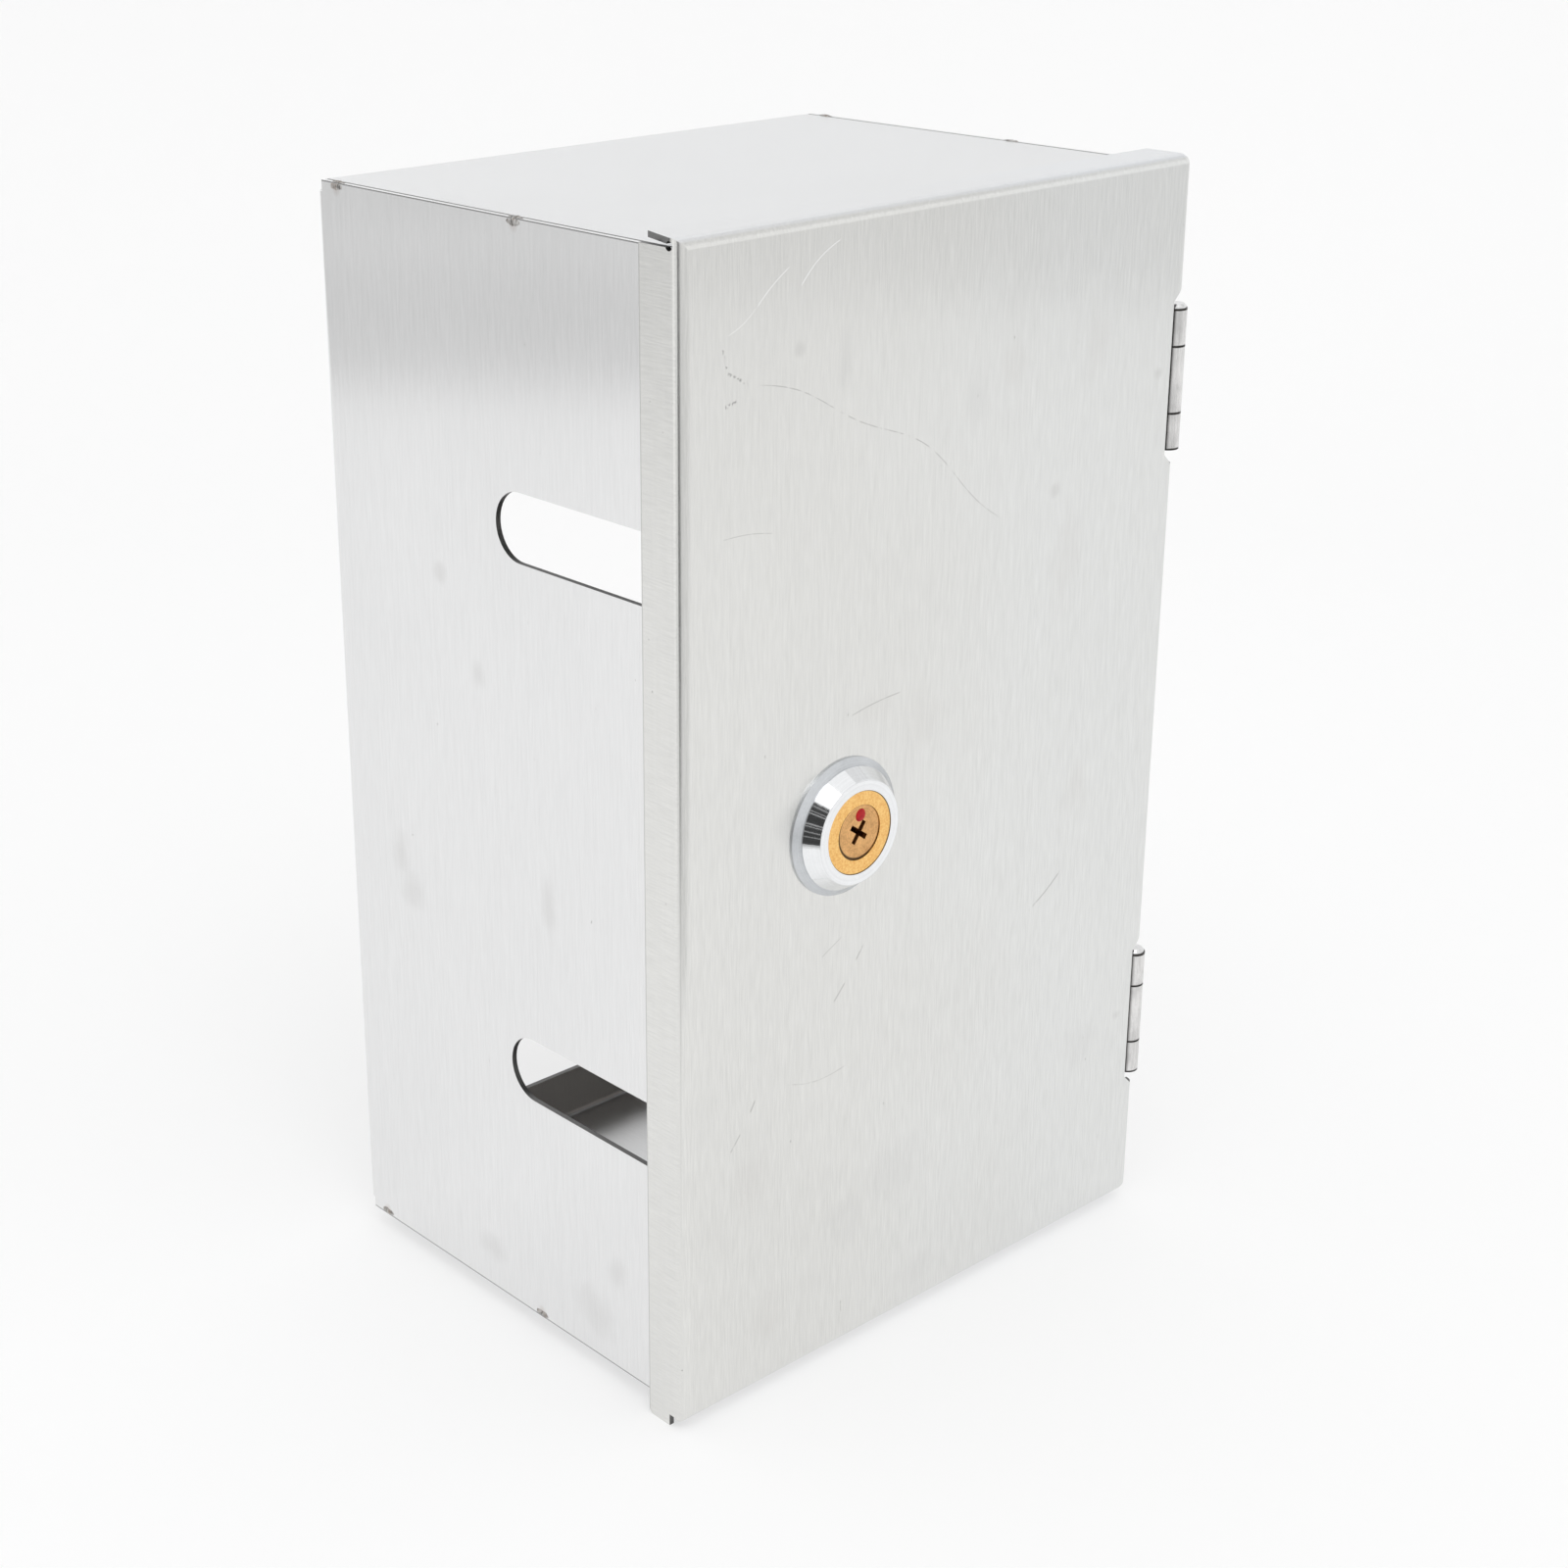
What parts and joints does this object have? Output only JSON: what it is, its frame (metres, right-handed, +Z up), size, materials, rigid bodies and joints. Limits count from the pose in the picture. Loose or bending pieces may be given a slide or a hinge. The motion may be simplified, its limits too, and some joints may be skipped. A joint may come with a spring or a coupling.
{
  "type": "lockable wall box",
  "caption": "Folded stainless wall box with an open framed back, cable slots in one side and a hinged pan door closed by a key-operated cam lock.",
  "frame": {"origin": "middle of the whole part's footprint, on the surface that the box stands on", "axes": "+X towards the hinges, +Y from the door's face to the wall behind the box, +Z up"},
  "size_m": [0.1212, 0.0992, 0.2073],
  "materials": {
    "brushed_body": "stainless sheet, fine vertical brush lines",
    "brushed_door": "stainless sheet, fine vertical brush lines, light scratches",
    "weld_bead": "rough tack weld with heat tint",
    "inner_steel": "plain mill finish",
    "hinge_steel": "rolled stainless hinge, smooth",
    "hinge_pin_steel": "bright turned pin",
    "satin_chrome": "satin plated die casting",
    "lock_chrome": "polished chrome plate",
    "lock_brass": "satin gilt brass",
    "plug_brass": "turned brass, worn",
    "pin_brass": "turned brass",
    "spring_steel": "drawn spring wire",
    "zinc_steel": "bright zinc plate"
  },
  "bodies": {
    "box": {"body_shell": "brushed_body", "corner_tack_welds": "weld_bead", "latch_catch": "inner_steel", "catch_tack_welds": "weld_bead", "upper_hinge_body_leaf": "hinge_steel", "lower_hinge_body_leaf": "hinge_steel", "upper_hinge_pin": "hinge_pin_steel", "lower_hinge_pin": "hinge_pin_steel"},
    "door": {"door_panel": "brushed_door", "upper_hinge_door_leaf": "hinge_steel", "lower_hinge_door_leaf": "hinge_steel", "lock_base_ring": "satin_chrome", "lock_shell": "lock_chrome", "lock_core": "lock_brass", "driver_pins": "pin_brass", "pin_springs": "spring_steel", "lock_washer": "zinc_steel", "lock_nut": "zinc_steel"},
    "plug": {"lock_plug": "plug_brass", "key_pins": "pin_brass", "stop_washer": "zinc_steel", "lock_cam": "zinc_steel", "cam_washer": "zinc_steel", "cam_nut": "zinc_steel"}
  },
  "joints": [
    {"name": "door_hinge", "type": "hinge", "parent": "box", "child": "door", "pos_m": [0.0585, -0.04405, 0.1046], "axis": [0, 0, 1], "range_deg": [0, 180]},
    {"name": "lock_turn", "type": "hinge", "parent": "door", "child": "plug", "pos_m": [-0.0243, -0.03, 0.1046], "axis": [0, -1, 0], "range_deg": [0, 90]}
  ]
}
